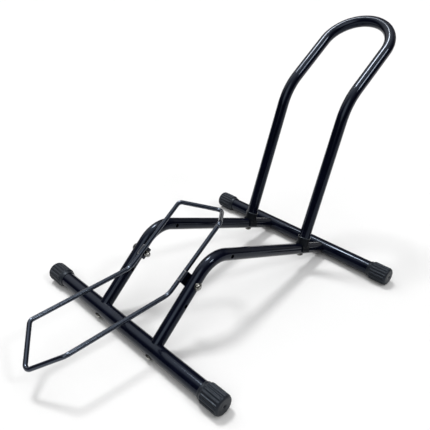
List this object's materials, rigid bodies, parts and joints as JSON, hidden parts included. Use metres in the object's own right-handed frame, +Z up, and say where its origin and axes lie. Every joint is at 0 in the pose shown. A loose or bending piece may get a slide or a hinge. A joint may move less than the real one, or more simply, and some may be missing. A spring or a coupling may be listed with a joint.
{
  "type": "floor bike rack",
  "caption": "Free-standing tubular floor rack for one bicycle wheel, with a rocking wire cradle between bent side rails and a tall leaning hoop.",
  "frame": {"origin": "on the floor at the centre of the footprint box, midway between the side rails", "axes": "+X along the crossbars to the right side, +Y from the wheel's entry at the rocking cradle to the hoop, +Z up"},
  "size_m": [0.412, 0.7542, 0.4153],
  "materials": {
    "black_steel": "gloss powder coat",
    "cap_plastic": "moulded matte",
    "bright_fasteners": "zinc bright",
    "plug_steel": "machined"
  },
  "bodies": {
    "frame": {"front_crossbar": "black_steel", "rear_crossbar": "black_steel", "front_right_end_cap": "cap_plastic", "front_left_end_cap": "cap_plastic", "rear_right_end_cap": "cap_plastic", "rear_left_end_cap": "cap_plastic", "right_rail": "black_steel", "left_rail": "black_steel", "front_right_rail_plug": "plug_steel", "front_left_rail_plug": "plug_steel", "rear_right_rail_plug": "plug_steel", "rear_left_rail_plug": "plug_steel", "front_right_rail_bolt": "bright_fasteners", "front_left_rail_bolt": "bright_fasteners", "rear_right_rail_bolt": "bright_fasteners", "rear_left_rail_bolt": "bright_fasteners", "hoop": "black_steel", "right_hoop_saddle": "cap_plastic", "left_hoop_saddle": "cap_plastic", "right_hoop_plug": "plug_steel", "left_hoop_plug": "plug_steel", "right_hoop_bolt": "bright_fasteners", "left_hoop_bolt": "bright_fasteners", "right_pivot_bolt": "bright_fasteners", "left_pivot_bolt": "bright_fasteners", "right_pivot_cap_nut": "bright_fasteners", "left_pivot_cap_nut": "bright_fasteners"},
    "cradle": {"cradle_loop": "black_steel", "right_pivot_plate": "black_steel", "left_pivot_plate": "black_steel"}
  },
  "joints": [
    {"name": "cradle_rock", "type": "hinge", "parent": "frame", "child": "cradle", "pos_m": [0, -0.1372, 0.0932], "axis": [1, 0, 0], "range_deg": [-68.8, 9.3]}
  ]
}
